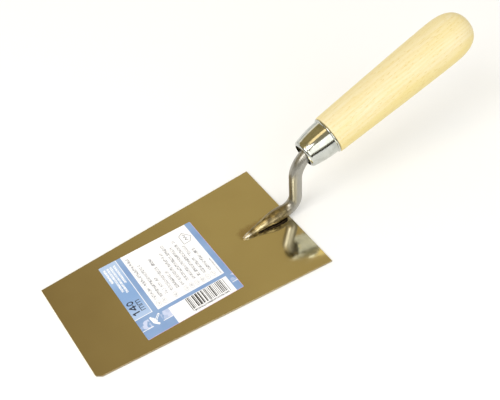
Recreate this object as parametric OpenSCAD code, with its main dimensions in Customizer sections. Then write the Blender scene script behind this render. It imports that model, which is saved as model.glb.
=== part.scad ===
// Square bucket trowel: a flat mirror-polished blade on a welded gooseneck shank,
// with a drawn steel ferrule and a turned beech handle.
//
// Frame, in millimetres: the origin is the middle of the blade's underside, +X runs
// from the toe towards the handle, +Y is across the blade and +Z is up.

/* [Blade] */
// Length of the blade from its toe to its heel
blade_length = 140; // [80:5:240]
// Width of the blade at its toe
toe_width = 66.8; // [40:0.1:140]
// Width of the blade at its heel
heel_width = 84.9; // [50:0.1:160]
// Thickness of the blade's sheet
blade_t = 1.0; // [0.6:0.1:2]
// How much of the toe edge the snipped corner takes
snip_toe = 1.9; // [0:0.1:5]
// How much of the side edge the snipped corner takes
snip_side = 3.0; // [0:0.1:8]

/* [Shank] */
// Diameter of the shank's round bar
rod_d = 7.5; // [5:0.1:12]
// Distance from the heel edge to the start of the lower bend
bend_setback = 2.4; // [0:0.1:15]
// Centreline radius of the lower bend
lower_bend_r = 8.4; // [6:0.1:20]
// Straight length of the riser between the two bends
riser_length = 14.1; // [5:0.1:60]
// How far the riser leans towards the toe, in degrees
riser_lean = 0; // [0:0.5:15]
// Centreline radius of the upper bend
upper_bend_r = 16.4; // [8:0.1:40]
// Length of the flattened tongue on the blade
tongue_length = 27.4; // [15:0.1:60]
// Width of the tongue where it is widest
tongue_width = 8.6; // [6:0.1:14]
// Width of the tongue at its tip
tongue_tip_width = 2.2; // [1:0.1:6]
// Height of the tongue at its tip
tongue_tip_height = 1.3; // [0.6:0.1:3]
// Diameter of the tang inside the handle
tang_d = 6; // [4:0.1:10]
// Length of the tang beyond the upper bend, with its point
tang_length = 62; // [30:1:90]
// Length of the tang's point
tang_point = 10; // [2:1:20]

/* [Welds] */
// Radius of one ripple of the side welds
weld_r = 1.7; // [0.8:0.1:3]
// Number of ripples in each side weld
weld_ripples = 9; // [4:1:16]
// Radius of the spot weld at the tongue's tip
tip_weld_r = 1.5; // [0.8:0.1:3]

/* [Ferrule] */
// Length of the ferrule
ferrule_length = 18.0; // [10:0.1:40]
// Diameter of the hole in the ferrule's front
mouth_d = 13.0; // [10:0.1:20]
// Diameter of the ferrule just behind its rolled front edge
ferrule_front_d = 17.0; // [12:0.1:24]
// Diameter of the ferrule just before its rear bead
ferrule_rear_d = 20.6; // [14:0.1:30]
// Diameter of the bead round the ferrule's rear
ferrule_bead_d = 22.0; // [16:0.1:34]
// Radius of the rolled front edge
rolled_edge_r = 2.0; // [0.8:0.1:3]
// Thickness of the ferrule's wall
ferrule_wall = 0.8; // [0.4:0.1:1.5]

/* [Handle] */
// Angle of the handle above the blade, in degrees
handle_angle = 18.6; // [0:0.2:45]
// How far the ferrule's front reaches back over the upper bend
mouth_lap = 5.8; // [0:0.1:10]
// How far the handle's axis runs above the tang's axis
tang_offset = 0.5; // [0:0.1:2]
// Length of the wood behind the ferrule
handle_length = 100.8; // [70:0.1:160]
// Diameter of the wood just behind the ferrule
handle_front_d = 22.8; // [16:0.1:34]
// Diameter of the wood at its widest
handle_swell_d = 27.3; // [20:0.1:42]
// Where the wood is widest, as a share of its length
swell_at = 0.8; // [0.5:0.005:0.9]
// How square the rounded butt is, where 2 is an ellipse
butt_power = 2.8; // [2:0.1:4]
// Distance from the ferrule's front to the front of the wood inside it
tenon_start = 8; // [6.5:0.1:12]

/* [Label] */
// Length of the paper label, along the blade
label_length = 59.0; // [20:0.1:100]
// Width of the paper label, across the blade
label_width = 56.8; // [20:0.1:90]
// Thickness of the paper label
label_t = 0.12; // [0.1:0.01:0.3]
// Position of the label's middle along the blade
label_x = -8.5; // [-60:0.1:60]
// Position of the label's middle across the blade
label_y = -0.4; // [-20:0.1:20]

/* [Hidden] */
$fn = 96;

blade_colour = [0.62, 0.53, 0.31];
steel_colour = [0.72, 0.71, 0.69];
weld_colour = [0.50, 0.42, 0.28];
chrome_colour = [0.80, 0.81, 0.80];
beech_colour = [0.96, 0.90, 0.68];
paper_colour = [0.86, 0.90, 0.96];

heel_x = blade_length / 2;
toe_x = -blade_length / 2;

// Where the snipped corner meets the blade's side edge.
side_slope = (heel_width - toe_width) / 2 / blade_length;
snip_corner = [toe_x + snip_side, -toe_width / 2 - snip_side * side_slope];

// Points of the shank's centreline, as [x, z] in the plane y = 0.
bar_z = blade_t + rod_d / 2;
riser_angle = 90 + riser_lean;
lower_centre = [heel_x - bend_setback, bar_z + lower_bend_r];
riser_start = lower_centre + lower_bend_r * [sin(riser_angle), -cos(riser_angle)];
riser_end = riser_start + riser_length * [cos(riser_angle), sin(riser_angle)];
upper_centre = riser_end + upper_bend_r * [sin(riser_angle), -cos(riser_angle)];
tang_start = upper_centre + upper_bend_r * [-sin(handle_angle), cos(handle_angle)];

// The handle's own frame starts at the middle of the ferrule's front.
along = [cos(handle_angle), sin(handle_angle)];
above = [-sin(handle_angle), cos(handle_angle)];
ferrule_front = tang_start - mouth_lap * along + tang_offset * above;

// Cross-sections of the tongue from its root to its tip: share of the way along,
// share of the full width and share of the bar's height.
tongue_stations = [
    [-0.06, 0.84, 0.99],
    [0.02, 0.92, 0.99],
    [0.12, 1.00, 0.97],
    [0.28, 0.98, 0.88],
    [0.46, 0.76, 0.68],
    [0.72, 0.50, 0.42],
    [1.00, 0.26, 0.18]
];
tongue_root_x = heel_x - bend_setback;
tang_lap = 1.5;

// The side welds: how far from the tongue's root they start, how far they reach along
// it, where their line starts and ends as shares of the tongue's width, and how much the
// last ripple is smaller.
weld_start = 1;
weld_reach = 0.62;
weld_root_share = 0.42;
weld_tip_share = 0.27;
weld_taper = 0.4;

// Ferrule and handle profiles, as [radius, distance from the ferrule's front].
barrel_steps = 10;
handle_steps = 28;
butt_steps = 16;
bead_r = 0.6;
wood_chamfer = 0.4;
butt_start = swell_at * handle_length;

// The share of the grip's swelling that comes early, and how early it comes.
early_swell = 0.75;
early_power = 0.75;

function barrel_r(s) =
    let (t = (ferrule_length - s) / (ferrule_length - rolled_edge_r))
    ferrule_rear_d / 2 - (ferrule_rear_d - ferrule_front_d) / 2 * t * t;

function grip_r(t) =
    handle_front_d / 2
    + (handle_swell_d - handle_front_d) / 2
    * (early_swell * pow(t, early_power) + (1 - early_swell) * pow(sin(90 * t), 2));

function butt_r(t) = handle_swell_d / 2 * pow(1 - pow(t, butt_power), 1 / butt_power);

module in_plane(point) {
    translate([point[0], 0, point[1]]) children();
}

// Turns +Z to the given angle above +X.
module aim(angle) {
    rotate([0, 90 - angle, 0]) children();
}

module handle_frame() {
    in_plane(ferrule_front) aim(handle_angle) children();
}

// A bend in the shank's bar. It starts at the origin heading along +Z and turns towards
// +X, round a centre on the X axis.
module bar_bend(radius, turn) {
    translate([radius, 0, 0])
        rotate([90, 0, 180])
            rotate_extrude(angle = turn)
                translate([radius, 0])
                    circle(d = rod_d);
}

// The outline of the tongue's section, flat below and faceted above, as shares of its
// width and height.
tongue_outline = [
    [-0.42, 0.00],
    [0.42, 0.00],
    [0.50, 0.30],
    [0.47, 0.62],
    [0.28, 0.92],
    [0.08, 1.00],
    [-0.08, 1.00],
    [-0.28, 0.92],
    [-0.47, 0.62],
    [-0.50, 0.30]
];

// A closed loft through the tongue's sections, in facets like a ground forging.
module tongue() {
    n = len(tongue_outline);
    last = len(tongue_stations) - 1;
    corners = [for (st = tongue_stations)
        let (w = max(tongue_tip_width, st[1] * tongue_width))
        let (h = max(tongue_tip_height, st[2] * rod_d))
        for (p = tongue_outline)
            [tongue_root_x - st[0] * tongue_length, p[0] * w, blade_t + p[1] * h]];
    sides = [for (i = [0 : last - 1], k = [0 : n - 1], half = [0, 1])
        let (a = i * n + k)
        let (b = i * n + (k + 1) % n)
        half == 0 ? [a, b, b + n] : [a, b + n, a + n]];
    root = [for (k = [1 : n - 2]) [0, k + 1, k]];
    tip = [for (k = [1 : n - 2]) [last * n, last * n + k, last * n + k + 1]];
    polyhedron(points = corners, faces = concat(sides, root, tip));
}

// The straight tang, in the handle's frame. It starts a little way inside the upper bend.
module tang() {
    straight = tang_length - tang_point;
    translate([tang_offset, 0, mouth_lap - tang_lap])
        cylinder(h = straight + tang_lap, d = tang_d);
    translate([tang_offset, 0, mouth_lap + straight])
        cylinder(h = tang_point, d1 = tang_d, d2 = tang_d / 3);
}

module blade() {
    color(blade_colour)
        linear_extrude(blade_t)
            polygon([
                [toe_x, toe_width / 2],
                [toe_x, -toe_width / 2 + snip_toe],
                snip_corner,
                [heel_x, -heel_width / 2],
                [heel_x, heel_width / 2]
            ]);
}

module label() {
    color(paper_colour)
        translate([label_x, label_y, blade_t])
            linear_extrude(label_t)
                square([label_length, label_width], center = true);
}

module shank() {
    color(steel_colour) {
        tongue();
        in_plane(riser_start) aim(riser_angle) {
            rotate([0, 180, 0]) bar_bend(lower_bend_r, riser_angle);
            cylinder(h = riser_length, d = rod_d);
            translate([0, 0, riser_length])
                bar_bend(upper_bend_r, riser_angle - handle_angle);
        }
        handle_frame() tang();
    }
}

// A row of weld ripples along one side of the tongue, cut level with the blade's face.
// The row starts by the widest part of the tongue and shrinks towards its tip.
module side_weld(side) {
    from = [tongue_root_x - weld_start, tongue_width * weld_root_share];
    to = [tongue_root_x - tongue_length * weld_reach, tongue_width * weld_tip_share];
    color(weld_colour)
        intersection() {
            for (i = [0 : weld_ripples - 1]) {
                spot = from + (to - from) * i / (weld_ripples - 1);
                translate([spot[0], side * spot[1], blade_t])
                    sphere(r = weld_r * (1 - weld_taper * i / weld_ripples), $fn = 48);
            }
            translate([0, -heel_width / 2, blade_t])
                cube([heel_x, heel_width, rod_d]);
        }
}

module weld_left() {
    side_weld(1);
}

module weld_right() {
    side_weld(-1);
}

module weld_tip() {
    color(weld_colour)
        intersection() {
            translate([tongue_root_x - tongue_length, 0, blade_t])
                sphere(r = tip_weld_r, $fn = 48);
            translate([0, -tip_weld_r, blade_t])
                cube([heel_x, 2 * tip_weld_r, tip_weld_r]);
        }
}

// Half section of the solid of the ferrule, shrunk all round by an inset.
module ferrule_outline(inset) {
    span = ferrule_length - rolled_edge_r;
    edge_centre = ferrule_front_d / 2 - rolled_edge_r;
    translate([edge_centre, rolled_edge_r])
        intersection() {
            circle(r = rolled_edge_r - inset);
            translate([0, -rolled_edge_r]) square([rolled_edge_r, 2 * rolled_edge_r]);
        }
    polygon(concat(
        [[0, ferrule_length], [0, inset], [edge_centre, inset], [edge_centre, rolled_edge_r]],
        [for (i = [0 : barrel_steps])
            let (s = rolled_edge_r + span * i / barrel_steps)
            [barrel_r(s) - inset, s]]
    ));
}

module ferrule() {
    color(chrome_colour)
        handle_frame()
            rotate_extrude()
                difference() {
                    union() {
                        ferrule_outline(0);
                        translate([ferrule_bead_d / 2 - bead_r, ferrule_length - bead_r])
                            circle(r = bead_r);
                    }
                    ferrule_outline(ferrule_wall);
                    translate([0, -1]) square([mouth_d / 2, ferrule_length]);
                }
}

module handle() {
    color(beech_colour)
        handle_frame()
            difference() {
                rotate_extrude()
                    union() {
                        intersection() {
                            ferrule_outline(ferrule_wall);
                            translate([0, tenon_start])
                                square([ferrule_rear_d, ferrule_length - tenon_start]);
                        }
                        translate([0, ferrule_length])
                            polygon(concat(
                                [[0, 0], [handle_front_d / 2 - wood_chamfer, 0]],
                                [for (i = [0 : handle_steps])
                                    let (t = i / handle_steps)
                                    [grip_r(t), max(wood_chamfer, t * butt_start)]],
                                [for (i = [1 : butt_steps])
                                    let (t = sin(90 * i / butt_steps))
                                    [butt_r(t), butt_start + t * (handle_length - butt_start)]]
                            ));
                    }
                tang();
            }
}

blade();
label();
shank();
weld_left();
weld_right();
weld_tip();
ferrule();
handle();
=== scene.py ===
import math

import bpy
import numpy as np
from mathutils import Matrix, Vector, noise


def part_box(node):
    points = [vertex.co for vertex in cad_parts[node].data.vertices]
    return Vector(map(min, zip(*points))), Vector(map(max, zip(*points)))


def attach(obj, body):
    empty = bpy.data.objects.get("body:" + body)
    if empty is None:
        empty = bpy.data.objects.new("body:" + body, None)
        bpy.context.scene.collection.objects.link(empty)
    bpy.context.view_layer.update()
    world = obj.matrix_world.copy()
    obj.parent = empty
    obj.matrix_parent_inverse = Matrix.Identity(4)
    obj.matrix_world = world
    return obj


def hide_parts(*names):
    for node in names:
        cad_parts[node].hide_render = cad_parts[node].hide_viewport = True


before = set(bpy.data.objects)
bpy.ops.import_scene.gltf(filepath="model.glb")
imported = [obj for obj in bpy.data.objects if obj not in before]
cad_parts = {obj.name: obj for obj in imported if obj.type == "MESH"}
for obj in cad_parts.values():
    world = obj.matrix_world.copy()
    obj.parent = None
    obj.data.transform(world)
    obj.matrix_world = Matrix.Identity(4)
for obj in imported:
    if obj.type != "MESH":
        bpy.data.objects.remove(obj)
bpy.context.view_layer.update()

MM = 0.001

# ---------------------------------------------------------------- sizes, in mm
blade_low, blade_high = [np.array(c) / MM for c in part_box("blade")]
BLADE_T = blade_high[2]
TOE_X, HEEL_X = blade_low[0], blade_high[0]
HEEL_HALF = blade_high[1]
TOE_HALF = 33.4
SNIP_TOE, SNIP_SIDE = 1.9, 3.0

ROD_R = 3.75
BEND_SETBACK = 2.4
LOWER_BEND_R = 8.4
RISER_LENGTH = 14.1
RISER_LEAN = 0.0
UPPER_BEND_R = 16.4
TONGUE_LENGTH = 27.4
TANG_R = 3.0
TANG_LENGTH = 62.0
TANG_POINT = 10.0

FERRULE_LENGTH = 18.0
MOUTH_R = 6.5
FERRULE_FRONT_R = 8.5
FERRULE_REAR_R = 10.3
FERRULE_BEAD_R = 11.0
ROLLED_EDGE_R = 2.0
FERRULE_WALL = 0.8
BEAD_R = 0.6

HANDLE_ANGLE = 18.6
MOUTH_LAP = 5.8
TANG_OFFSET = 0.5
HANDLE_LENGTH = 100.74
HANDLE_FRONT_R = 11.4
HANDLE_SWELL_R = 13.62
SWELL_AT = 0.8
BUTT_POWER = 2.8
TENON_START = 8.0
WOOD_CHAMFER = 0.4

LABEL_LOW, LABEL_HIGH = [np.array(c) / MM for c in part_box("label")]


def direction(angle):
    a = math.radians(angle)
    return np.array([math.cos(a), math.sin(a)])


def right_of(angle):
    a = math.radians(angle)
    return np.array([math.sin(a), -math.cos(a)])


# The shank's centreline in the plane y = 0, as in the CAD.
RISER_ANGLE = 90 + RISER_LEAN
BAR_Z = BLADE_T + ROD_R
ROOT_X = HEEL_X - BEND_SETBACK
TIP_X = ROOT_X - TONGUE_LENGTH
LOWER_CENTRE = np.array([ROOT_X, BAR_Z + LOWER_BEND_R])
RISER_START = LOWER_CENTRE + LOWER_BEND_R * right_of(RISER_ANGLE)
RISER_END = RISER_START + RISER_LENGTH * direction(RISER_ANGLE)
UPPER_CENTRE = RISER_END + UPPER_BEND_R * right_of(RISER_ANGLE)
TANG_START = UPPER_CENTRE - UPPER_BEND_R * right_of(HANDLE_ANGLE)
ALONG = direction(HANDLE_ANGLE)
ABOVE = -right_of(HANDLE_ANGLE)
FERRULE_FRONT = TANG_START - MOUTH_LAP * ALONG + TANG_OFFSET * ABOVE


# ---------------------------------------------------------------- mesh helpers
def make_piece(name, verts, faces, material, sharp=35):
    """A mesh object from points in mm, smooth except at edges sharper than sharp degrees."""
    mesh = bpy.data.meshes.new(name)
    mesh.from_pydata([tuple(float(c) * MM for c in v) for v in verts], [], faces)
    mesh.materials.append(material)
    mesh.polygons.foreach_set("use_smooth", [True] * len(mesh.polygons))
    mesh.set_sharp_from_angle(angle=math.radians(sharp))
    mesh.validate()
    mesh.update()
    piece = bpy.data.objects.new(name, mesh)
    bpy.context.scene.collection.objects.link(piece)
    return piece


def loft(rings, start_pole=None, end_pole=None, closed=False):
    """Points and faces through rings of equal counts, with a pole or a flat cap at each end."""
    n = len(rings[0])
    verts = [p for ring in rings for p in ring]
    faces = []
    pairs = len(rings) if closed else len(rings) - 1
    for i in range(pairs):
        a, b = i * n, ((i + 1) % len(rings)) * n
        for k in range(n):
            k2 = (k + 1) % n
            faces.append((a + k, a + k2, b + k2, b + k))
    last = (len(rings) - 1) * n
    if not closed:
        for pole, base, flip in ((start_pole, 0, True), (end_pole, last, False)):
            if pole is None:
                cap = list(range(base, base + n))
                faces.append(tuple(reversed(cap)) if flip else tuple(cap))
            else:
                verts.append(pole)
                tip = len(verts) - 1
                for k in range(n):
                    a, b = base + k, base + (k + 1) % n
                    faces.append((tip, b, a) if flip else (tip, a, b))
    return verts, faces


def flipped(faces):
    return [tuple(reversed(f)) for f in faces]


def circle(n, start=0.0):
    """Angles of n even steps round a circle, in radians."""
    return [start + 2 * math.pi * k / n for k in range(n)]


def handle_point(x, y, s):
    """A point of the handle's own frame, s mm along its axis, in the row's frame."""
    base = FERRULE_FRONT + s * ALONG - x * ABOVE
    return (base[0], y, base[1])


def handle_ring(r, s, n, centre=0.0):
    return [handle_point(centre + r * math.cos(t), r * math.sin(t), s) for t in circle(n)]


# ---------------------------------------------------------------- shader helpers
class Nodes:
    """Short ways to add nodes to a tree. A value is a number, a tuple or a socket."""

    def __init__(self, tree):
        self.tree = tree

    def put(self, socket, value):
        if isinstance(value, bpy.types.NodeSocket):
            self.tree.links.new(value, socket)
        else:
            socket.default_value = value

    def math(self, op, a, b=0.0, c=0.0):
        n = self.tree.nodes.new("ShaderNodeMath")
        n.operation = op
        for socket, value in zip(n.inputs, (a, b, c)):
            self.put(socket, value)
        return n.outputs[0]

    def times(self, a, b):
        return self.math("MULTIPLY", a, b)

    def vmath(self, op, a, b=(0, 0, 0)):
        n = self.tree.nodes.new("ShaderNodeVectorMath")
        n.operation = op
        self.put(n.inputs[0], a)
        self.put(n.inputs[1], b)
        return n.outputs["Value" if op == "LENGTH" else "Vector"]

    def stretch(self, vector, scale):
        return self.vmath("MULTIPLY", vector, scale)

    def split(self, vector):
        n = self.tree.nodes.new("ShaderNodeSeparateXYZ")
        self.put(n.inputs[0], vector)
        return n.outputs[0], n.outputs[1], n.outputs[2]

    def join(self, x, y, z):
        n = self.tree.nodes.new("ShaderNodeCombineXYZ")
        for socket, value in zip(n.inputs, (x, y, z)):
            self.put(socket, value)
        return n.outputs[0]

    def noise(self, vector, scale=1.0, detail=2.0, rough=0.5):
        n = self.tree.nodes.new("ShaderNodeTexNoise")
        self.put(n.inputs["Vector"], vector)
        n.inputs["Scale"].default_value = scale
        n.inputs["Detail"].default_value = detail
        n.inputs["Roughness"].default_value = rough
        return n.outputs["Fac"]

    def cells(self, vector):
        """One random value from 0 to 1 for each Voronoi cell."""
        n = self.tree.nodes.new("ShaderNodeTexVoronoi")
        self.put(n.inputs["Vector"], vector)
        n.inputs["Scale"].default_value = 1.0
        return self.split(n.outputs["Color"])[0]

    def white(self, value):
        """A random value from 0 to 1 for each value."""
        n = self.tree.nodes.new("ShaderNodeTexWhiteNoise")
        n.noise_dimensions = "1D"
        self.put(n.inputs["W"], value)
        return n.outputs["Value"]

    def step(self, value, low, high, out_low=0.0, out_high=1.0, smooth=True):
        """Value taken from low..high to out_low..out_high, clamped."""
        n = self.tree.nodes.new("ShaderNodeMapRange")
        n.interpolation_type = "SMOOTHSTEP" if smooth else "LINEAR"
        for name, v in (
            ("Value", value), ("From Min", low), ("From Max", high),
            ("To Min", out_low), ("To Max", out_high),
        ):
            self.put(n.inputs[name], v)
        return n.outputs[0]

    def mix(self, factor, a, b):
        """Colour a where factor is 0 and colour b where it is 1."""
        n = self.tree.nodes.new("ShaderNodeMix")
        n.data_type = "RGBA"
        self.put(n.inputs["Factor"], factor)
        for socket, value in ((n.inputs[6], a), (n.inputs[7], b)):
            self.put(socket, (*value, 1.0) if isinstance(value, tuple) else value)
        return n.outputs[2]

    def bump(self, height, distance, strength, normal=None):
        n = self.tree.nodes.new("ShaderNodeBump")
        n.inputs["Strength"].default_value = strength
        n.inputs["Distance"].default_value = distance
        self.put(n.inputs["Height"], height)
        if normal is not None:
            self.put(n.inputs["Normal"], normal)
        return n.outputs[0]


class Shader(Nodes):
    """A Principled material, with object coordinates in mm."""

    def __init__(self, name, **values):
        self.mat = bpy.data.materials.new(name)
        self.mat.use_nodes = True
        super().__init__(self.mat.node_tree)
        self.bsdf = self.tree.nodes["Principled BSDF"]
        for key, value in values.items():
            self.bsdf.inputs[key.replace("_", " ")].default_value = value
        self.coord = self.tree.nodes.new("ShaderNodeTexCoord").outputs["Object"]

    def set(self, name, value):
        self.put(self.bsdf.inputs[name], value)

    def mm(self, shift=(0, 0, 0)):
        """Object coordinates in mm, with a point moved to the origin."""
        v = self.vmath("SCALE", self.coord)
        v.node.inputs["Scale"].default_value = 1 / MM
        return self.vmath("SUBTRACT", v, shift)

    def handle_mm(self):
        """Coordinates in the handle's own frame, in mm, with Z along the handle."""
        v = self.mm((float(FERRULE_FRONT[0]), 0.0, float(FERRULE_FRONT[1])))
        n = self.tree.nodes.new("ShaderNodeVectorRotate")
        n.rotation_type = "Y_AXIS"
        n.inputs["Angle"].default_value = -math.radians(90 - HANDLE_ANGLE)
        self.put(n.inputs["Vector"], v)
        return n.outputs[0]


def srgb(r, g, b):
    """An sRGB colour of 0 to 255 as linear values."""
    def one(c):
        c /= 255
        return c / 12.92 if c <= 0.04045 else ((c + 0.055) / 1.055) ** 2.4

    return (one(r), one(g), one(b))


# ---------------------------------------------------------------- materials
# Where the welding heat has coloured the blade: the ends in X and the place in Y of a line
# under the tongue, and how far out from that line the stain reaches.
STAIN_X = (42.0, 68.0)
STAIN_Y = 1.6
STAIN_REACH = 4.2
# The ends in X of the painted reflection that darkens the blade from straw at the heel to umber at the
# toe.
REFLECTION_FADE_X = (30.0, -74.0)
# The depths from a face between which a sheared side's look sets in, and how far back from
# the toe the ground edge reaches.
FLANK_EDGE, TOE_EDGE = (0.03, 0.12), 0.3


def blade_material():
    s = Shader("blade_steel", Metallic=1.0)
    p = s.mm()
    x, y, z = s.split(p)
    cloud = s.noise(p, 0.022, 3)
    # Towards the toe the blade is painted from straw to umber: a painted reflection, with a random
    # cloud of tone over it.
    toe_reflection = s.step(x, *REFLECTION_FADE_X, smooth=False)
    tone_and_reflection = s.math("MULTIPLY_ADD", cloud, 0.45, s.times(toe_reflection, 0.75))
    straw, reflected_umber, brown = (0.88, 0.82, 0.60), (0.56, 0.485, 0.36), (0.44, 0.31, 0.12)
    sheared, ground = (0.30, 0.24, 0.14), (0.95, 0.88, 0.66)
    tint = s.mix(s.step(tone_and_reflection, 0.2, 1.0, smooth=False), straw, reflected_umber)
    nearest = s.math("MINIMUM", s.math("MAXIMUM", x, STAIN_X[0]), STAIN_X[1])
    along = s.math("SUBTRACT", x, nearest)
    across = s.math("SUBTRACT", y, STAIN_Y)
    near = s.vmath("LENGTH", s.join(along, across, 0.0))
    wobble = s.noise(p, 0.35, 3)
    stain = s.step(s.math("MULTIPLY_ADD", wobble, -3.0, near), STAIN_REACH, 0.6)
    tint = s.mix(s.times(stain, 0.65), tint, brown)
    # The sheared side edges are dull and darker, and the toe edge is ground bright.
    below_top = s.step(z, *(BLADE_T - depth for depth in FLANK_EDGE))
    flank = s.times(below_top, s.step(z, *FLANK_EDGE))
    toe = s.math("LESS_THAN", x, float(TOE_X) + TOE_EDGE)
    tint = s.mix(flank, tint, s.mix(toe, sheared, ground))
    s.set("Base Color", tint)
    hair = s.noise(s.stretch(p, (0.25, 9.0, 1.0)), 1.0, 3)
    smudge = s.noise(p, 0.06, 4, 0.6)
    rough = s.math("MULTIPLY_ADD", hair, 0.03, s.step(smudge, 0.40, 0.75, 0.08, 0.13))
    rough = s.math("MULTIPLY_ADD", flank, 0.35, rough)
    s.set("Roughness", s.math("MULTIPLY_ADD", stain, 0.2, rough))
    wave = s.noise(p, 0.035, 1)
    fine = s.bump(hair, 0.0006 * MM, 0.6)
    s.set("Normal", s.bump(wave, 0.03 * MM, 0.35, fine))
    return s.mat


# Bands of the bar along X, in mm, each with a soft end: browned by heat, ground back to
# gold on the tongue's crest, and silver near the tip.
HEAT_END = (73.0, 66.0)
GOLD_FROM, GOLD_TO = (46.0, 48.0), (56.0, 53.5)
SILVER_END = (44.5, 42.0)
# The height, with a soft edge, below which the heat shows.
HEAT_TOP = (15.5, 9.0)
# The middle of the tongue's crest, off the blade's middle line, and its soft half width.
CREST_Y, CREST_HALF = -1.2, (1.5, 0.8)


def bar_material():
    s = Shader("shank_steel", Metallic=1.0)
    p = s.mm()
    x, y, z = s.split(p)
    speck = s.noise(p, 1.6, 4, 0.65)
    blotch = s.noise(p, 0.30, 3, 0.6)
    ragged_z = s.math("MULTIPLY_ADD", blotch, 5.0, z)
    heat = s.times(s.step(x, *HEAT_END), s.step(ragged_z, *HEAT_TOP))
    bright, dull = (0.42, 0.41, 0.375), (0.32, 0.31, 0.28)
    brown, dark = (0.40, 0.33, 0.18), (0.16, 0.125, 0.07)
    ground, silver = (0.88, 0.76, 0.46), (0.80, 0.77, 0.70)
    steel = s.mix(s.step(speck, 0.35, 0.7), bright, dull)
    burnt = s.mix(s.step(blotch, 0.35, 0.65), brown, dark)
    crest = s.step(s.math("ABSOLUTE", s.math("SUBTRACT", y, CREST_Y)), *CREST_HALF)
    gold = s.times(crest, s.times(s.step(x, *GOLD_TO), s.step(x, *GOLD_FROM)))
    burnt = s.mix(s.times(gold, 0.85), burnt, ground)
    burnt = s.mix(s.step(x, *SILVER_END), burnt, silver)
    s.set("Base Color", s.mix(heat, steel, burnt))
    lines = s.noise(s.stretch(p, (0.5, 7.0, 0.5)), 1.0, 3)
    grind = s.noise(s.stretch(p, (0.35, 2.4, 1.6)), 1.0, 2, 0.5)
    s.set("Roughness", s.math("MULTIPLY_ADD", heat, -0.06, s.step(speck, 0.3, 0.8, 0.34, 0.44)))
    drawn = s.bump(lines, 0.006 * MM, 0.5)
    s.set("Normal", s.bump(s.times(grind, heat), 0.18 * MM, 0.6, drawn))
    return s.mat


def weld_material():
    s = Shader("weld_metal", Metallic=1.0)
    p = s.mm()
    blotch = s.noise(p, 0.7, 4, 0.65)
    # The near-black soot is partly real weld scale and partly painted shade of the crevice between the
    # tongue and the blade.
    soot_and_crevice_shade, scale = (0.016, 0.011, 0.008), (0.085, 0.058, 0.03)
    s.set("Base Color", s.mix(s.step(blotch, 0.40, 0.72), soot_and_crevice_shade, scale))
    s.set("Roughness", s.step(blotch, 0.3, 0.7, 0.6, 0.35))
    s.set("Normal", s.bump(s.noise(p, 2.2, 4, 0.7), 0.10 * MM, 0.8))
    return s.mat


def tip_material():
    s = Shader("weld_tip_metal", Metallic=1.0)
    p = s.mm()
    blotch = s.noise(p, 1.4, 3, 0.6)
    clean, browned = (0.72, 0.68, 0.60), (0.40, 0.30, 0.15)
    s.set("Base Color", s.mix(s.step(blotch, 0.4, 0.65), clean, browned))
    s.set("Roughness", s.step(blotch, 0.3, 0.7, 0.18, 0.4))
    s.set("Normal", s.bump(s.noise(p, 2.6, 3, 0.6), 0.08 * MM, 0.8))
    return s.mat


# How far past the mouth's radius the painted shade inside it reaches.
MOUTH_SHADE_EDGE = 0.25


def ferrule_material():
    s = Shader("ferrule_chrome", Metallic=1.0)
    q = s.handle_mm()
    x, y, z = s.split(q)
    angle = s.math("ARCTAN2", y, x)
    drawn = s.noise(s.join(s.times(angle, 22.0), s.times(z, 0.12), 0.0), 1.0, 3)
    haze = s.noise(q, 0.25, 3, 0.6)
    clear, hazed, mouth_shade = (0.60, 0.62, 0.59), (0.47, 0.49, 0.46), (0.12, 0.11, 0.10)
    tint = s.mix(s.step(haze, 0.35, 0.7), clear, hazed)
    # The lip inside the mouth, where the bar enters, is painted dark: painted shade in the hole.
    from_axis = s.vmath("LENGTH", s.join(x, y, 0.0))
    inside = s.math("LESS_THAN", from_axis, MOUTH_R + MOUTH_SHADE_EDGE)
    s.set("Base Color", s.mix(inside, tint, mouth_shade))
    s.set("Roughness", s.math("MULTIPLY_ADD", drawn, 0.05, s.step(haze, 0.35, 0.75, 0.07, 0.14)))
    s.set("Normal", s.bump(drawn, 0.012 * MM, 0.5))
    return s.mat


# The tree's pith, in the handle's frame, and how closely its growth rings follow.
PITH = (14.0, -38.0, 0.0)
RING_RATE = 2.6
# The direction across the handle along which its painted shade lies: the sides facing either way along
# it are painted darker and warmer.
SHADE_AXIS = (0.58, -0.81)


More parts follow.
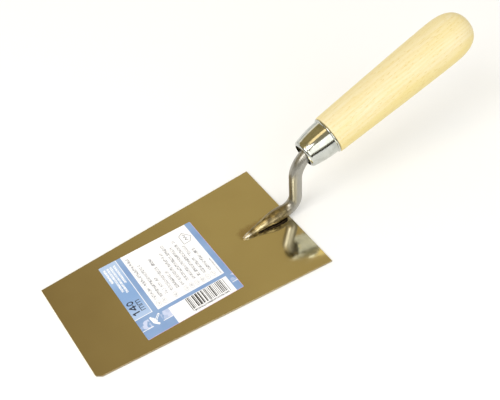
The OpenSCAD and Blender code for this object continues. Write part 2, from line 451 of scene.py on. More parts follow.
def beech_material():
    s = Shader("beech", Roughness=0.42, Coat_Weight=0.15, Coat_Roughness=0.25)
    q = s.handle_mm()
    x, y, _ = s.split(q)
    warp = s.noise(s.stretch(q, (0.06, 0.06, 0.012)), 1.0, 2)
    from_pith = s.vmath("LENGTH", s.stretch(s.vmath("SUBTRACT", q, PITH), (1.0, 1.0, 0.0)))
    rings = s.math("SINE", s.times(s.math("MULTIPLY_ADD", warp, 9.0, from_pith), RING_RATE))
    fibre = s.noise(s.stretch(q, (2.6, 2.6, 0.09)), 1.0, 4, 0.6)
    mottle = s.noise(s.stretch(q, (0.11, 0.11, 0.03)), 1.0, 3)
    fleck = s.noise(s.stretch(q, (1.7, 1.7, 0.34)), 1.0, 2, 0.55)
    pore = s.noise(s.stretch(q, (3.6, 3.6, 0.7)), 1.0, 2, 0.5)
    pale, yellow = (0.80, 0.71, 0.47), (0.79, 0.68, 0.38)
    base = s.mix(s.step(mottle, 0.3, 0.7), pale, yellow)
    # The lower near side and the upper far side are painted darker and warmer, wobbled by the mottle:
    # painted shade at the handle's edges.
    across = s.math("ADD", s.times(x, SHADE_AXIS[0]), s.times(y, SHADE_AXIS[1]))
    turn = s.math("DIVIDE", across, s.vmath("LENGTH", s.join(x, y, 0.001)))
    painted_edge_shade = s.step(s.math("ABSOLUTE", s.math("MULTIPLY_ADD", mottle, 0.25, turn)), 0.50, 1.05)
    for mask, amount, colour in (
        (painted_edge_shade, 0.85, (0.75, 0.61, 0.22)),
        (s.step(rings, -0.6, 1.0), 0.30, (0.74, 0.60, 0.22)),
        (s.step(fibre, 0.42, 0.75), 0.35, (0.78, 0.58, 0.24)),
        (s.step(fleck, 0.58, 0.68), 0.42, (0.64, 0.46, 0.11)),
        (s.step(pore, 0.64, 0.72), 0.40, (0.56, 0.40, 0.08)),
    ):
        base = s.mix(s.times(mask, amount), base, colour)
    s.set("Base Color", base)
    s.set("Roughness", s.step(fibre, 0.3, 0.75, 0.38, 0.52))
    height = s.math("MULTIPLY_ADD", s.step(fleck, 0.58, 0.72), -0.6, fibre)
    height = s.math("MULTIPLY_ADD", s.step(pore, 0.64, 0.76), -0.8, height)
    s.set("Normal", s.bump(height, 0.03 * MM, 0.55))
    return s.mat


# ---------------------------------------------------------------- the label's print
# Half the width over which a printed edge fades, and a distance past the label's edges.
PRINT_EDGE = 0.06
OUTSIDE = 40.0
WHITE, PALE, BLUE = srgb(250, 250, 252), srgb(206, 214, 240), srgb(140, 168, 208)
# The white rule on two sides of the strip along the toe edge.
RULE_X = (-27.8, -27.4)
RULE_Y = (-14.4, -14.0)
# The rows in the strip: the X and the start in Y of each, then half a row's height and the
# rows' common end in Y.
STRIP_ROWS = ((-36.0, 14.4), (-34.0, 6.0), (-32.1, 4.4), (-29.9, 10.8))
STRIP_ROW_HALF, STRIP_ROW_END = 0.65, 25.2
# The white panel's ends in X and its near side in Y.
PANEL_X, PANEL_NEAR = (-24.4, 17.2), -14.9
# The panel's rows: the first row's X, the distance from one to the next, half a row's
# height and the rows' start in Y. Then for each row its end in Y and whether an oval
# stands before it.
FIRST_ROW, ROW_PITCH, ROW_HALF, ROW_START = -22.0, 3.42, 0.9, -8.6
ROWS = (
    (24.8, True), (17.2, True), (4.4, False), (17.6, True), (4.8, False), (17.6, True),
    (22.0, True), (17.6, True), (21.0, True), (15.0, True), (10.0, True),
)
OVAL_Y, OVAL_HALF_X, OVAL_HALF_Y = -11.7, 1.35, 1.9
# Where an oval's ring begins and where its middle ends, as shares of its size.
OVAL_RING, OVAL_MIDDLE = 0.88, 0.6
# A line of print along the panel's foot: its sides in X and its ends in Y.
FOOT_X, FOOT_Y = (15.5, 16.3), (-14.4, -1.2)
# The bar code's white ground: its ends in X and its far side in Y.
GROUND_X, GROUND_FAR = (-19.6, 16.6), -17.2
# The bars: their ends in X, the distance from one to the next, and their sides in Y.
BARS_X = (-9.4, 13.6)
BAR_PITCH = 0.92
BARS_NEAR, BARS_FAR = -25.7, -17.5
# The least share of the pitch that a bar fills, how much chance adds, and how rare the wide
# bars are. The seed picks one row of random bars.
BAR_LEAST, BAR_MORE, BAR_RARITY, BAR_SEED = 0.22, 0.75, 1.6, 9.0
# The longer guard bars: the X of each, half their width, and their near side in Y.
GUARDS_X, GUARD_HALF, GUARD_NEAR = (-9.2, 2.3, 13.9), 0.14, -27.0
# The tiny marks below the bars: their ends in X and their sides in Y.
MARKS_X, MARKS_Y = (-8.6, 13.0), (-27.4, -26.3)
# The picture patches with their lines: sides in Y.
PICTURE_Y, LAST_PICTURE_Y, LINE_Y = (-23.2, -17.2), (-23.6, -17.6), (-23.0, -22.6)
# The size figure: the X of its feet and top, and the strokes' widths in its 1 and its 4.
FIGURE_FOOT, FIGURE_TOP, ONE_STROKE, FOUR_STROKE = -33.2, -36.7, 0.8, 0.72
# The two letters m: the X of their tops and feet, their legs in Y, where each starts in Y
# and the width of their strokes.
LETTER_TOP, LETTER_FOOT, LETTER_LEGS = -31.7, -29.5, (0.0, 1.65, 3.3)
LETTER_STARTS, LETTER_STROKE = (-10.4, -6.3), 0.44
# The widths of the misprint's pink line along the heel edge and the near edge.
PINK_HEEL, PINK_NEAR = 0.28, 0.2


class LabelPrint(Shader):
    """The label's paper with its print, placed in mm in the row's frame.

    A mask is 1 where ink goes. Each print_ method paints over the colour so far.
    """

    def __init__(self):
        super().__init__("label_paper", Roughness=0.35, Coat_Weight=0.25, Coat_Roughness=0.15)
        self.p = self.mm()
        self.x, self.y, _ = self.split(self.p)
        cloud = self.noise(self.p, 0.05, 2)
        self.colour = self.mix(self.step(cloud, 0.3, 0.7), BLUE, srgb(122, 153, 200))

    def paint(self, mask, ink, amount=1.0):
        self.colour = self.mix(self.times(mask, amount), self.colour, ink)

    def within(self, value, low, high):
        rise = self.step(value, low - PRINT_EDGE, low + PRINT_EDGE)
        fall = self.step(value, high + PRINT_EDGE, high - PRINT_EDGE)
        return self.times(rise, fall)

    def box(self, x0, x1, y0, y1):
        return self.times(self.within(self.x, x0, x1), self.within(self.y, y0, y1))

    def either(self, masks):
        total = masks[0]
        for mask in masks[1:]:
            total = self.math("MAXIMUM", total, mask)
        return total

    def scribble(self, size, seed, weight):
        """Thin curls of about a letter's size, for print that can't be read."""
        across, along = self.math("DIVIDE", self.x, size), self.math("DIVIDE", self.y, size * 0.8)
        n = self.noise(self.join(across, along, seed), 1.0, 0)
        off_middle = self.math("ABSOLUTE", self.math("SUBTRACT", n, 0.5))
        return self.step(off_middle, weight * 1.5, weight * 0.6)

    def ellipse(self, cx, cy, rx, ry):
        """How far out a point is from the middle of an ellipse, where 1 is its edge."""
        dx = self.math("DIVIDE", self.math("SUBTRACT", self.x, cx), rx)
        dy = self.math("DIVIDE", self.math("SUBTRACT", self.y, cy), ry)
        return self.vmath("LENGTH", self.join(dx, dy, 0.0))

    def stroke(self, start, end, width):
        length = math.hypot(end[0] - start[0], end[1] - start[1])
        ux, uy = (end[0] - start[0]) / length, (end[1] - start[1]) / length
        dx, dy = self.math("SUBTRACT", self.x, start[0]), self.math("SUBTRACT", self.y, start[1])
        t = self.math("ADD", self.times(dx, ux), self.times(dy, uy))
        t = self.math("MINIMUM", self.math("MAXIMUM", t, 0.0), length)
        qx = self.math("SUBTRACT", dx, self.times(t, ux))
        qy = self.math("SUBTRACT", dy, self.times(t, uy))
        off_line = self.vmath("LENGTH", self.join(qx, qy, 0.0))
        return self.step(off_line, width / 2 + PRINT_EDGE, width / 2 - PRINT_EDGE)

    def path(self, points, width):
        return self.either([self.stroke(a, b, width) for a, b in zip(points, points[1:])])

    def print_strip(self):
        """The paler strip along the toe edge, framed by a thin rule, with four lines."""
        strip = self.box(-OUTSIDE, RULE_X[0], sum(RULE_Y) / 2, OUTSIDE)
        from_middle = self.math("ABSOLUTE", self.math("SUBTRACT", self.y, 4.0))
        fade = self.step(from_middle, 3.0, 20.0)
        self.paint(strip, self.mix(fade, srgb(132, 166, 212), srgb(176, 198, 230)))
        sides = [self.box(*RULE_X, RULE_Y[0], OUTSIDE), self.box(-OUTSIDE, RULE_X[1], *RULE_Y)]
        self.paint(self.either(sides), WHITE, 0.9)
        for row_x, start in STRIP_ROWS:
            low, high = row_x - STRIP_ROW_HALF, row_x + STRIP_ROW_HALF
            line = self.box(low, high, start, STRIP_ROW_END)
            self.paint(self.times(line, self.scribble(0.55, row_x, 0.11)), WHITE)

    def print_panel(self):
        """The large white panel, with rows of grey print and ovals before most of them."""
        self.paint(self.box(*PANEL_X, PANEL_NEAR, OUTSIDE), WHITE)
        zones, ovals = [], []
        for i, (end, has_oval) in enumerate(ROWS):
            row_x = FIRST_ROW + ROW_PITCH * i
            zones.append(self.box(row_x - ROW_HALF, row_x + ROW_HALF, ROW_START, end))
            if has_oval:
                ovals.append(self.ellipse(row_x, OVAL_Y, OVAL_HALF_X, OVAL_HALF_Y))
        words = self.join(self.math("DIVIDE", self.x, 6.0), self.math("DIVIDE", self.y, 3.4), 2.0)
        gaps = self.step(self.noise(words, 1.0, 1), 0.34, 0.38)
        ink = srgb(112, 112, 120)
        rows = self.times(self.times(self.either(zones), gaps), self.scribble(1.0, 3.0, 0.08))
        self.paint(rows, ink, 0.75)
        rings = self.either([self.within(oval, OVAL_RING, 1.0) for oval in ovals])
        inner = self.either([self.math("LESS_THAN", oval, OVAL_MIDDLE) for oval in ovals])
        marks = self.times(inner, self.scribble(0.8, 8.0, 0.07))
        self.paint(self.either([rings, marks]), ink, 0.6)
        foot = self.box(*FOOT_X, *FOOT_Y)
        self.paint(self.times(foot, self.scribble(0.45, 5.0, 0.10)), ink, 0.7)

    def print_outline(self):
        """A plain five-sided outline with a zig-zag in it, near the panel's far corner."""
        outline = ((9.8, 15.4), (10.0, 21.8), (12.6, 23.2), (16.2, 18.6), (13.9, 15.6), (9.8, 15.4))
        self.paint(self.path(outline, 0.24), srgb(84, 86, 92))
        zigzag = ((13.6, 17.2), (12.0, 18.0), (13.4, 18.8), (12.0, 19.6), (13.2, 20.6), (12.2, 22.0))
        self.paint(self.path(zigzag, 0.34), srgb(110, 112, 118))

    def print_bar_code(self):
        """Bars of random width, three longer guard bars and tiny marks below them."""
        self.paint(self.box(*GROUND_X, -OUTSIDE, GROUND_FAR), WHITE)
        place = self.math("DIVIDE", self.math("SUBTRACT", self.x, BARS_X[0]), BAR_PITCH)
        number = self.math("FLOOR", place)
        draw = self.math("POWER", self.white(self.math("ADD", number, BAR_SEED)), BAR_RARITY)
        width = self.math("MULTIPLY_ADD", draw, BAR_MORE, BAR_LEAST)
        bars = self.math("LESS_THAN", self.math("SUBTRACT", place, number), width)
        self.paint(self.times(bars, self.box(*BARS_X, BARS_NEAR, BARS_FAR)), srgb(28, 28, 30))
        guards = [
            self.box(at - GUARD_HALF, at + GUARD_HALF, GUARD_NEAR, BARS_FAR) for at in GUARDS_X
        ]
        self.paint(self.either(guards), srgb(96, 96, 98))
        marks = self.times(self.box(*MARKS_X, *MARKS_Y), self.scribble(0.55, 6.0, 0.10))
        self.paint(marks, srgb(110, 110, 116))

    def print_pictures(self):
        """Patches of pale facets on white lines, with a plain blade shape and a pencil."""
        facets = self.cells(self.stretch(self.p, (0.45, 0.45, 0.0)))
        facets = self.times(self.step(facets, 0.25, 0.65), 0.9)
        patches = self.either([
            self.box(-OUTSIDE, -31.8, *PICTURE_Y),
            self.box(-25.4, -19.6, *PICTURE_Y),
            self.box(17.6, OUTSIDE, *LAST_PICTURE_Y),
        ])
        self.paint(self.times(facets, patches), PALE)
        lines = ((-OUTSIDE, -31.4), (-25.4, -19.8), (17.4, OUTSIDE))
        self.paint(self.either([self.box(a, b, *LINE_Y) for a, b in lines]), WHITE, 0.9)
        self.paint(self.path(((-28.2, -22.9), (-30.0, -20.9), (-30.4, -17.4)), 1.3), WHITE)
        self.paint(self.stroke((-28.9, -20.6), (-29.9, -18.6), 1.9), WHITE)
        pencil_foot = (-28.4, -19.9)
        self.paint(self.stroke(pencil_foot, (-25.6, -17.4), 1.1), WHITE)
        self.paint(self.stroke(pencil_foot, (-25.8, -17.6), 0.4), BLUE)

    def print_size(self):
        """The blade's length as a plain figure, with its unit, two letters m."""
        ink = srgb(40, 48, 66)
        foot, top = FIGURE_FOOT, FIGURE_TOP
        one = self.path(((-36.0, -11.2), (top, -10.2), (foot, -10.2)), ONE_STROKE)
        four = self.path(((foot, -5.9), (top, -5.9), (-34.2, -8.2), (-34.2, -5.0)), FOUR_STROKE)
        self.paint(self.either([one, four]), ink)
        middle = (foot + top) / 2
        self.paint(self.within(self.ellipse(middle, -3.0, 2.0, 1.35), 0.60, 1.0), ink)
        for start in LETTER_STARTS:
            ends = ((LETTER_TOP, start), (LETTER_TOP, start + LETTER_LEGS[-1]))
            strokes = [self.path(ends, LETTER_STROKE)]
            for leg in LETTER_LEGS:
                y = start + leg
                strokes.append(self.stroke((LETTER_TOP, y), (LETTER_FOOT, y), LETTER_STROKE))
            self.paint(self.either(strokes), ink, 0.9)

    def print_misprint(self):
        """A thin pink line along the heel edge and the near edge."""
        heel_edge = self.math("GREATER_THAN", self.x, float(LABEL_HIGH[0]) - PINK_HEEL)
        near_edge = self.math("LESS_THAN", self.y, float(LABEL_LOW[1]) + PINK_NEAR)
        self.paint(self.either([heel_edge, near_edge]), srgb(226, 178, 214), 0.6)


def label_material():
    s = LabelPrint()
    s.print_strip()
    s.print_panel()
    s.print_outline()
    s.print_bar_code()
    s.print_pictures()
    s.print_size()
    s.print_misprint()
    s.set("Base Color", s.colour)
    fibre = s.noise(s.p, 3.0, 3, 0.6)
    s.set("Roughness", s.step(fibre, 0.3, 0.7, 0.30, 0.42))
    s.set("Normal", s.bump(fibre, 0.01 * MM, 0.4))
    return s.mat


# ---------------------------------------------------------------- blade
# The small rounding of the sheet's edges.
EDGE_ROUND = 0.10
EDGE_STEPS = 3


def inset(points, d):
    """A closed outline, anticlockwise from above, with its sides moved in by d."""
    out = []
    n = len(points)
    for i in range(n):
        a, b, c = (Vector(points[j % n]) for j in (i - 1, i, i + 1))
        u, v = (b - a).normalized(), (c - b).normalized()
        nu, nv = Vector((-u.y, u.x)), Vector((-v.y, v.x))
        m = (nu + nv).normalized()
        out.append(tuple(b + m * d / m.dot(nu)))
    return out


def build_blade():
    slope = (HEEL_HALF - TOE_HALF) / (HEEL_X - TOE_X)
    outline = [
        (TOE_X, TOE_HALF),
        (TOE_X, -TOE_HALF + SNIP_TOE),
        (TOE_X + SNIP_SIDE, -TOE_HALF - SNIP_SIDE * slope),
        (HEEL_X, -HEEL_HALF),
        (HEEL_X, HEEL_HALF),
    ]
    lower, upper = [], []
    for i in range(EDGE_STEPS + 1):
        a = math.pi / 2 * i / EDGE_STEPS
        rise, run = EDGE_ROUND * (1 - math.cos(a)), EDGE_ROUND * (1 - math.sin(a))
        lower.append([(x, y, rise) for x, y in inset(outline, run)])
        upper.append([(x, y, BLADE_T - run) for x, y in inset(outline, rise)])
    verts, faces = loft(lower + upper)
    return make_piece("blade_sheet", verts, faces, blade_material(), sharp=20)


# ---------------------------------------------------------------- shank
# The tongue's sections from its tip to its root: distance from the root, width, height,
# and how faceted the section is, from 0 to 1.
TONGUE_STATIONS = (
    (TONGUE_LENGTH, 1.9, 1.25, 0.7),
    (25.6, 2.9, 1.9, 0.9),
    (20.1, 4.4, 3.2, 1.0),
    (13.0, 6.5, 5.15, 1.0),
    (7.3, 8.45, 6.8, 0.9),
    (3.1, 8.5, 7.35, 0.35),
    (0.0, 7.7, 7.6, 0.0),
)
BACK, WIDTHS, HEIGHTS, FACETS = zip(*TONGUE_STATIONS)
# The tongue bends a little towards -Y, starting SHIFT_START from its root and moving by
# TIP_SHIFT over SHIFT_SPAN.
TIP_SHIFT, SHIFT_START, SHIFT_SPAN = 0.9, 13.6, 14.0
# The tongue's flats: the direction that each faces, in degrees, and how far out it lies.
FLATS = ((90, 1.0), (48, 0.97), (132, 0.97), (8, 1.0), (172, 1.0), (-90, 1.0), (-32, 1.05), (212, 1.05))
# The higher this power, the sharper the corners between the flats.
CORNER_POWER = 14
# The hammer marks: how deep they are, and how closely they follow along and round the bar.
HAMMERED, MARKS_ALONG, MARKS_ROUND, MARKS_SEED = 0.22, 0.35, 0.5, 5.0
SECTION_N = 72
TONGUE_RINGS, LOWER_RINGS, RISER_RINGS, UPPER_RINGS = 84, 28, 12, 32
# The shoulder and the tang: distance from the upper bend's end, and radius.
TANG_STATIONS = (
    (0.3, ROD_R - 0.15), (0.5, TANG_R + 0.1), (0.7, TANG_R), (20, TANG_R),
    (TANG_LENGTH - TANG_POINT, TANG_R), (TANG_LENGTH - 0.3, TANG_R / 3 + 0.1),
    (TANG_LENGTH, TANG_R / 3 - 0.2),
)


def at_station(x, values):
    """A value of the tongue's sections at a place along X."""
    return float(np.interp(x, [ROOT_X - back for back in BACK], values))


def tongue_shift(x):
    return -TIP_SHIFT * max(0.0, (ROOT_X - SHIFT_START - x) / SHIFT_SPAN)


def tongue_section(width, height, facet):
    """A section through the bar: round where facet is 0, ground to flats where it is 1."""
    out = []
    for t in circle(SECTION_N, -math.pi / 2):
        total = 0.0
        for angle, reach in FLATS:
            c = math.cos(t - math.radians(angle))
            if c > 0:
                total += (c / reach) ** CORNER_POWER
        r = 1 + (total ** (-1 / CORNER_POWER) - 1) * facet
        out.append((width / 2 * r * math.cos(t), height / 2 * r * math.sin(t)))
    return out


def tongue_ring(x):
    w, h, f = (at_station(x, values) for values in (WIDTHS, HEIGHTS, FACETS))
    shift = tongue_shift(x)
    ring = []
    for u, v in tongue_section(w, h, f):
        spot = Vector((x * MARKS_ALONG, u * MARKS_ROUND, v * MARKS_ROUND + MARKS_SEED))
        lift = noise.noise(spot) * HAMMERED * f
        grow = 1 + lift / max(w, h) * 2
        ring.append((float(x), shift + u * grow, BLADE_T + max(0.0, h / 2 + v * grow)))
    return ring


def bar_ring(centre, angle, r):
    """A round section of the bar where it heads at an angle above +X."""
    ring = []
    for t in circle(SECTION_N, -math.pi / 2):
        p = centre - r * math.sin(t) * right_of(angle)
        ring.append((p[0], r * math.cos(t), p[1]))
    return ring


def build_shank():
    """One bar from the tongue's tip to the point of the tang."""
    rings = [tongue_ring(x) for x in np.linspace(TIP_X, ROOT_X, TONGUE_RINGS)]
    for i in range(1, LOWER_RINGS + 1):
        a = RISER_ANGLE * i / LOWER_RINGS
        rings.append(bar_ring(LOWER_CENTRE + LOWER_BEND_R * right_of(a), a, ROD_R))
    for i in range(1, RISER_RINGS + 1):
        centre = RISER_START + RISER_LENGTH * i / RISER_RINGS * direction(RISER_ANGLE)
        rings.append(bar_ring(centre, RISER_ANGLE, ROD_R))
    for i in range(1, UPPER_RINGS + 1):
        a = RISER_ANGLE + (HANDLE_ANGLE - RISER_ANGLE) * i / UPPER_RINGS
        rings.append(bar_ring(UPPER_CENTRE - UPPER_BEND_R * right_of(a), a, ROD_R))
    for s, r in TANG_STATIONS:
        rings.append(bar_ring(TANG_START + s * ALONG, HANDLE_ANGLE, r))
    verts, faces = loft(rings)
    return make_piece("shank_bar", verts, faces, bar_material(), sharp=50)


# ---------------------------------------------------------------- welds
WELD_N, WELD_RINGS, WELD_RIPPLES = 28, 120, 15
# How far behind the tongue's root the side welds start, and the share of the tongue's
# length that they reach along.
WELD_START, WELD_REACH = 0.6, 0.70
# The side welds' radius at the start, and how much of it is gone by the end.
WELD_R, WELD_TAPER = 1.05, 0.4
# How far out the weld's line lies, as a share of the tongue's half width.
WELD_LINE = 0.90
# The shares of a weld's length over which it swells and dies away, and its least fullness.
FADE_IN, FADE_OUT, FADE_LEAST = 0.05, 0.08, 0.02
# The shares of a bead's radius that are steady, rippled and uneven along it.
BEAD_STEADY, BEAD_RIPPLE, BEAD_NOISE, RIPPLE_POWER = 0.92, 0.10, 0.10, 0.7
# How uneven the side welds are round their section, and the tip weld all over.
BULGE_NOISE, LUMP_NOISE = 0.08, 0.13
TIP_N, TIP_ROWS, TIP_R, TIP_INSET = 40, 14, 1.35, 0.2
# The tip weld's length, width and height, as shares of its radius.
TIP_SHARES = (1.1, 0.9, 0.95)


def build_side_weld(side, name):
    x0, x1 = ROOT_X + WELD_START, ROOT_X - TONGUE_LENGTH * WELD_REACH
    rings = []
    for i in range(WELD_RINGS):
        t = i / (WELD_RINGS - 1)
        x = x0 + (x1 - x0) * t
        fade = min(1.0, t / FADE_IN, (1 - t) / FADE_OUT)
        r = (WELD_R - WELD_TAPER * t) * math.sqrt(max(FADE_LEAST, fade))
        ripple = BEAD_RIPPLE * abs(math.sin(t * WELD_RIPPLES * math.pi)) ** RIPPLE_POWER
        uneven = BEAD_NOISE * noise.noise(Vector((x * 0.9, side * 3.0, 0.5)))
        r *= BEAD_STEADY + ripple + uneven
        centre_y = side * at_station(x, WIDTHS) / 2 * WELD_LINE + tongue_shift(x)
        ring = []
        for a in circle(WELD_N):
            bulge = 1 + BULGE_NOISE * noise.noise(Vector((x * 1.3, a * 1.1, 7.0 * side)))
            out, rise = side * r * bulge * math.cos(a), r * bulge * math.sin(a)
            ring.append((x, centre_y + out, BLADE_T + max(0.0, rise)))
        rings.append(ring)
    verts, faces = loft(rings)
    return make_piece(name, verts, flipped(faces) if side > 0 else faces, weld_material(), sharp=60)


def build_tip_weld():
    cx, cy = TIP_X + TIP_INSET, -TIP_SHIFT
    length, width, height = (TIP_R * share for share in TIP_SHARES)
    rings = []
    for i in range(TIP_ROWS):
        a = math.pi / 2 * i / TIP_ROWS
        ring = []
        for t in circle(TIP_N):
            lump = noise.noise(Vector((math.cos(t) * 1.4, math.sin(t) * 1.4, i * 0.12)))
            d = (1 + LUMP_NOISE * lump) * math.cos(a)
            x, y = cx + length * d * math.cos(t), cy + width * d * math.sin(t)
            ring.append((x, y, BLADE_T + height * math.sin(a)))
        rings.append(ring)
    verts, faces = loft(rings, end_pole=(cx, cy, BLADE_T + height))
    return make_piece("tip_bead", verts, faces, tip_material(), sharp=60)


# ---------------------------------------------------------------- ferrule
FERRULE_N = 160
EDGE_ARC, BARREL_OUT, BEAD_ARC, BARREL_IN, INNER_ARC = 12, 30, 12, 23, 8
# The rolled edge stops a hair inside the barrel's front radius.
EDGE_SHARE = 0.9999
# The barrel's outside ends this many bead radii before the ferrule's rear.
BEAD_ROOM = 2.2
# The bead's arc: where it starts, and how far it turns, in radians.
BEAD_START, BEAD_TURN = -math.pi * 0.42, math.pi * 0.92


def barrel_r(s):
    """The barrel's outer radius, s mm behind the ferrule's front."""
    t = (FERRULE_LENGTH - s) / (FERRULE_LENGTH - ROLLED_EDGE_R)
    return FERRULE_REAR_R - (FERRULE_REAR_R - FERRULE_FRONT_R) * t * t


def build_ferrule():
    """A shell with a closed profile: outside from front to rear, then back inside."""
    edge_r = FERRULE_FRONT_R - ROLLED_EDGE_R
    profile = []
    for i in range(EDGE_ARC + 1):
        a = math.pi / 2 * i / EDGE_ARC
        r = edge_r + ROLLED_EDGE_R * math.sin(a) * EDGE_SHARE
        profile.append((r, ROLLED_EDGE_R * (1 - math.cos(a))))
    body_end = FERRULE_LENGTH - BEAD_ROOM * BEAD_R
    for i in range(1, BARREL_OUT + 1):
        s = ROLLED_EDGE_R + (body_end - ROLLED_EDGE_R) * i / BARREL_OUT
        profile.append((barrel_r(s), s))
    bead_r, bead_s = FERRULE_BEAD_R - BEAD_R, FERRULE_LENGTH - BEAD_R
    for i in range(BEAD_ARC + 1):
        a = BEAD_START + BEAD_TURN * i / BEAD_ARC
        profile.append((bead_r + BEAD_R * math.cos(a), bead_s + BEAD_R * math.sin(a)))
    profile.append((FERRULE_REAR_R - FERRULE_WALL, FERRULE_LENGTH))
    for i in range(1, BARREL_IN + 1):
        s = FERRULE_LENGTH - (FERRULE_LENGTH - ROLLED_EDGE_R) * i / BARREL_IN
        profile.append((barrel_r(s) - FERRULE_WALL, s))
    inner = ROLLED_EDGE_R - FERRULE_WALL
    for i in range(1, INNER_ARC + 1):
        a = math.pi / 2 * (1 - i / INNER_ARC)
        r = edge_r + inner * math.sin(a)
        profile.append((r, ROLLED_EDGE_R - inner * math.cos(a)))
    rings = [handle_ring(r, s, FERRULE_N) for r, s in profile]
    verts, faces = loft(rings, closed=True)
    return make_piece("ferrule_shell", verts, flipped(faces), ferrule_material(), sharp=40)


# ---------------------------------------------------------------- handle
HANDLE_N = 144
TENON_RINGS, CHAMFER_STEPS, GRIP_STEPS, BUTT_STEPS = 9, 4, 70, 48
# The share of the grip's swelling that comes early, and how early it comes.
EARLY_SWELL, EARLY_POWER = 0.75, 0.75
# A gap between the wood's shoulder and the ferrule, and the bevel on the tenon's front.
WOOD_GAP, TENON_BEVEL = 0.02, 0.3


def grip_r(t):
    """The grip's radius, from its front where t is 0 to its widest place where t is 1."""
    late = math.sin(math.pi / 2 * t) ** 2
    swelling = EARLY_SWELL * t ** EARLY_POWER + (1 - EARLY_SWELL) * late
    return HANDLE_FRONT_R + (HANDLE_SWELL_R - HANDLE_FRONT_R) * swelling


def wood_profile():
    """The wood's outside as (radius, distance), from the tenon's front to the butt."""
    stations = np.linspace(TENON_START, FERRULE_LENGTH, TENON_RINGS)
    tenon = [(barrel_r(s) - FERRULE_WALL, s) for s in stations]
    front_r = tenon[0][0]
    profile = [(front_r - TENON_BEVEL, TENON_START), (front_r, TENON_START + TENON_BEVEL)] + tenon[1:]
    flat_r, shoulder = HANDLE_FRONT_R - WOOD_CHAMFER, FERRULE_LENGTH + WOOD_GAP
    for i in range(CHAMFER_STEPS + 1):
        a = math.pi / 2 * i / CHAMFER_STEPS
        r, s = flat_r + WOOD_CHAMFER * math.sin(a), shoulder + WOOD_CHAMFER * (1 - math.cos(a))
        profile.append((r, s))
    butt_start = SWELL_AT * HANDLE_LENGTH
    for i in range(1, GRIP_STEPS + 1):
        t = i / GRIP_STEPS
        profile.append((grip_r(t), FERRULE_LENGTH + t * butt_start))
    for i in range(1, BUTT_STEPS):
        t = math.sin(math.pi / 2 * i / BUTT_STEPS)
        r = HANDLE_SWELL_R * (1 - t ** BUTT_POWER) ** (1 / BUTT_POWER)
        profile.append((r, FERRULE_LENGTH + butt_start + t * (HANDLE_LENGTH - butt_start)))
    return profile


def build_handle():
    """The wood, starting at the bottom of the tang's bore."""
    deep = MOUTH_LAP + TANG_LENGTH
    bore = ((TANG_R / 3, deep), (TANG_R, deep - TANG_POINT), (TANG_R, TENON_START))
    rings = [handle_ring(r, s, HANDLE_N, TANG_OFFSET) for r, s in bore]
    rings += [handle_ring(r, s, HANDLE_N) for r, s in wood_profile()]
    bore_end = handle_point(TANG_OFFSET, 0, deep)
    butt_end = handle_point(0, 0, FERRULE_LENGTH + HANDLE_LENGTH)
    verts, faces = loft(rings, start_pole=bore_end, end_pole=butt_end)
    return make_piece("handle_wood", verts, flipped(faces), beech_material(), sharp=40)


# ---------------------------------------------------------------- label
LABEL_CORNER_R, LABEL_CORNER_STEPS = 0.5, 5
# The top face is drawn in by this share, from a line at this share of the thickness.
LABEL_SHRINK, LABEL_BEVEL_AT = 0.04 / 28, 0.6


def build_label():
    (x0, y0, z0), (x1, y1, z1) = LABEL_LOW.tolist(), LABEL_HIGH.tolist()
    r = LABEL_CORNER_R
    corners = ((x1 - r, y1 - r, 0), (x0 + r, y1 - r, 90), (x0 + r, y0 + r, 180), (x1 - r, y0 + r, 270))
    outline = []
    for cx, cy, start in corners:
        for i in range(LABEL_CORNER_STEPS + 1):
            a = math.radians(start + 90 * i / LABEL_CORNER_STEPS)
            outline.append((cx + r * math.cos(a), cy + r * math.sin(a)))
    mx, my, keep = (x0 + x1) / 2, (y0 + y1) / 2, 1 - LABEL_SHRINK
    rings = [
        [(x, y, z0) for x, y in outline],
        [(x, y, z0 + (z1 - z0) * LABEL_BEVEL_AT) for x, y in outline],
        [(mx + (x - mx) * keep, my + (y - my) * keep, z1) for x, y in outline],
    ]
    verts, faces = loft(rings)
    return make_piece("label_sheet", verts, faces, label_material(), sharp=30)


pieces = {
    "blade": build_blade(),
    "label": build_label(),
    "shank": build_shank(),
    "weld_left": build_side_weld(1, "weld_bead_left"),
    "weld_right": build_side_weld(-1, "weld_bead_right"),
    "weld_tip": build_tip_weld(),
    "ferrule": build_ferrule(),
    "handle": build_handle(),
}
for node, piece in pieces.items():
    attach(piece, "root")
    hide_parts(node)

# ---------------------------------------------------------------- stage
FLOOR_HALF = 3000.0
PALE_FLOOR = (0.93, 0.93, 0.93)


def build_floor():
    s = Shader("stage_floor", Roughness=0.9)
    s.set("Base Color", (*PALE_FLOOR, 1.0))
    corners = [(FLOOR_HALF * i, FLOOR_HALF * j, 0) for i, j in ((-1, -1), (1, -1), (1, 1), (-1, 1))]
    return make_piece("stage_plane", corners, [(0, 1, 2, 3)], s.mat)


floor = build_floor()

# The room: neutral soft light. Metal mirrors grey walls, with a warm wall on the far
# side and a dark band at the floor's edge.
ROOM_LIGHT = (0.71, 0.70, 0.66)
GREY_WALL, WARM_WALL = (0.34, 0.30, 0.19), (0.392, 0.301, 0.128)
LOW_BAND = (0.05, 0.05, 0.045)
# The soft edges of the warm wall in Y and of the dark band in Z, of a direction's unit vector.
WARM_EDGE, BAND_EDGE = (-0.35, 0.10), (0.22, 0.12)


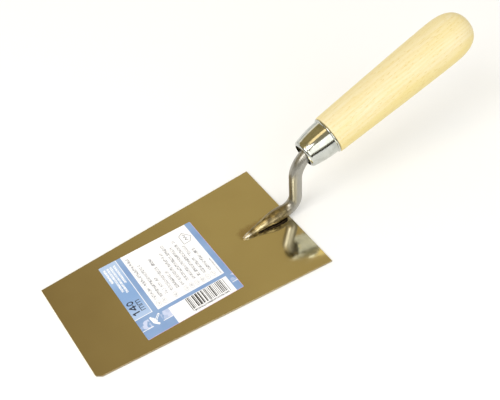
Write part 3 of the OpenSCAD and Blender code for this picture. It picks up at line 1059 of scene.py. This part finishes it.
def build_room():
    world = bpy.data.worlds.new("studio")
    world.use_nodes = True
    n = Nodes(world.node_tree)
    _, y, z = n.split(n.tree.nodes.new("ShaderNodeTexCoord").outputs["Generated"])
    walls = n.mix(n.step(y, *WARM_EDGE, smooth=False), GREY_WALL, WARM_WALL)
    low = n.step(n.math("ABSOLUTE", z), *BAND_EDGE, smooth=False)
    walls = n.mix(low, walls, LOW_BAND)
    mirrored = n.tree.nodes.new("ShaderNodeLightPath").outputs["Is Glossy Ray"]
    n.put(n.tree.nodes["Background"].inputs["Color"], n.mix(mirrored, ROOM_LIGHT, walls))
    return world


def softbox(name, at, to, size, power, colour=(1, 1, 1)):
    """A rectangular lamp, with places and sizes in metres and its power in watts."""
    data = bpy.data.lights.new(name, "AREA")
    data.shape = "RECTANGLE"
    data.size, data.size_y = size
    data.energy = power
    data.color = colour
    lamp = bpy.data.objects.new(name, data)
    lamp.location = at
    lamp.rotation_euler = (Vector(to) - Vector(at)).to_track_quat("-Z", "Y").to_euler()
    bpy.context.scene.collection.objects.link(lamp)


bpy.context.scene.world = build_room()
# A point near the tool's middle that two of the lamps are aimed at.
MIDDLE = (0.09, 0, 0.045)
softbox("rim", (0.1, 0.95, 0.25), (0.12, 0, 0.05), (1.6, 0.4), 1.6)
softbox("key", (-0.9, -0.3, 1.1), (0.05, 0, 0.02), (0.7, 0.7), 8)
softbox("fill", (-0.035, -1.05, 0.80), MIDDLE, (1.1, 0.9), 5.4)
softbox("warm", (-0.22, 0.02, 1.28), MIDDLE, (0.36, 0.62), 1.0, (1.0, 0.76, 0.40))

# ---------------------------------------------------------------- camera
# The photo's view: angles in degrees, then the distance, target, lens and sensor in mm.
CAM_AZ, CAM_EL, CAM_ROLL = (math.radians(v) for v in (-30.97, 47.5, 3.86))
CAM_DISTANCE, CAM_TARGET = 508.1, (58.61, 21.58, 1.0)
LENS, SENSOR = 62.3808, 36.0


def build_camera():
    level = math.cos(CAM_EL)
    back = Vector((math.sin(CAM_AZ) * level, -math.cos(CAM_AZ) * level, math.sin(CAM_EL)))
    right = Vector((math.cos(CAM_AZ), math.sin(CAM_AZ), 0))
    up = back.cross(right)
    rolled_right = right * math.cos(CAM_ROLL) - up * math.sin(CAM_ROLL)
    rolled_up = right * math.sin(CAM_ROLL) + up * math.cos(CAM_ROLL)
    place = (Vector(CAM_TARGET) + back * CAM_DISTANCE) * MM
    data = bpy.data.cameras.new("camera")
    data.sensor_width = SENSOR
    data.lens = LENS
    data.clip_start, data.clip_end = 0.01, 20
    camera = bpy.data.objects.new("camera", data)
    camera.matrix_world = Matrix((
        (rolled_right.x, rolled_up.x, back.x, place.x),
        (rolled_right.y, rolled_up.y, back.y, place.y),
        (rolled_right.z, rolled_up.z, back.z, place.z),
        (0, 0, 0, 1),
    ))
    bpy.context.scene.collection.objects.link(camera)
    return camera


bpy.context.scene.camera = build_camera()
bpy.context.scene.view_settings.view_transform = "Standard"
